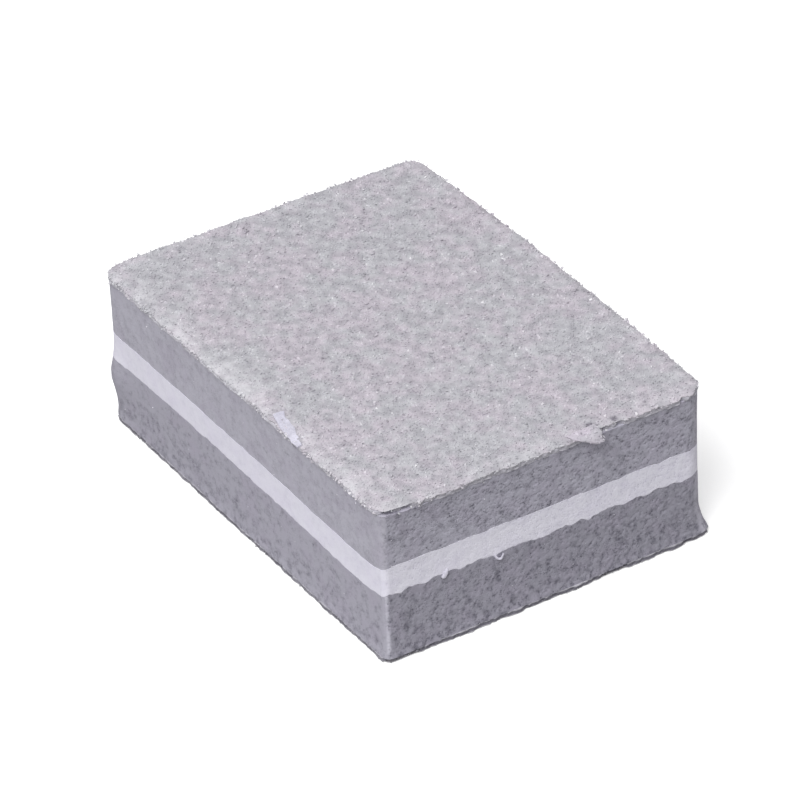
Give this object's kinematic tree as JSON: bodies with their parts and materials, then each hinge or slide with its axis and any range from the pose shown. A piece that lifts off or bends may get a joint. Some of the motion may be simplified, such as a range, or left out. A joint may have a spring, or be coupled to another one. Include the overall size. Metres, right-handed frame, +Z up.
{
  "type": "nail buffer block",
  "caption": "Small rectangular nail buffing block: foam pads on a pale core, with a coarse abrasive face on top and a finer one below.",
  "frame": {"origin": "middle of the bottom (fine) face, on the surface that the block lies on", "axes": "+X along the 35 mm length, +Y along the 25 mm width, +Z up through the layers, from the fine face to the coarse face"},
  "size_m": [0.035, 0.025, 0.012],
  "materials": {
    "coarse_grit": "matt grey abrasive coat of pale and clear grains in grey resin, coarser grade",
    "fine_grit": "matt grey abrasive coat, finer and closer grade",
    "sheet_paper": "pale grey latex-treated backing paper, seen only at its cut edge",
    "sheet_adhesive": "clear pressure-sensitive adhesive film, satin at its cut edge",
    "pad_foam": "matt mid-grey closed-cell EVA foam with cut cells on its side walls",
    "core_adhesive": "thin clear laminating film, seen as a faint line beside the core",
    "core_foam": "matt white dense EVA foam with fine cells"
  },
  "bodies": {
    "root": {"grit_coat_fine": "fine_grit", "abrasive_backing_lower": "sheet_paper", "sheet_adhesive_lower": "sheet_adhesive", "foam_pad_lower": "pad_foam", "core_adhesive_lower": "core_adhesive", "core_sheet": "core_foam", "core_adhesive_upper": "core_adhesive", "foam_pad_upper": "pad_foam", "sheet_adhesive_upper": "sheet_adhesive", "abrasive_backing_upper": "sheet_paper", "grit_coat_coarse": "coarse_grit"}
  },
  "joints": []
}
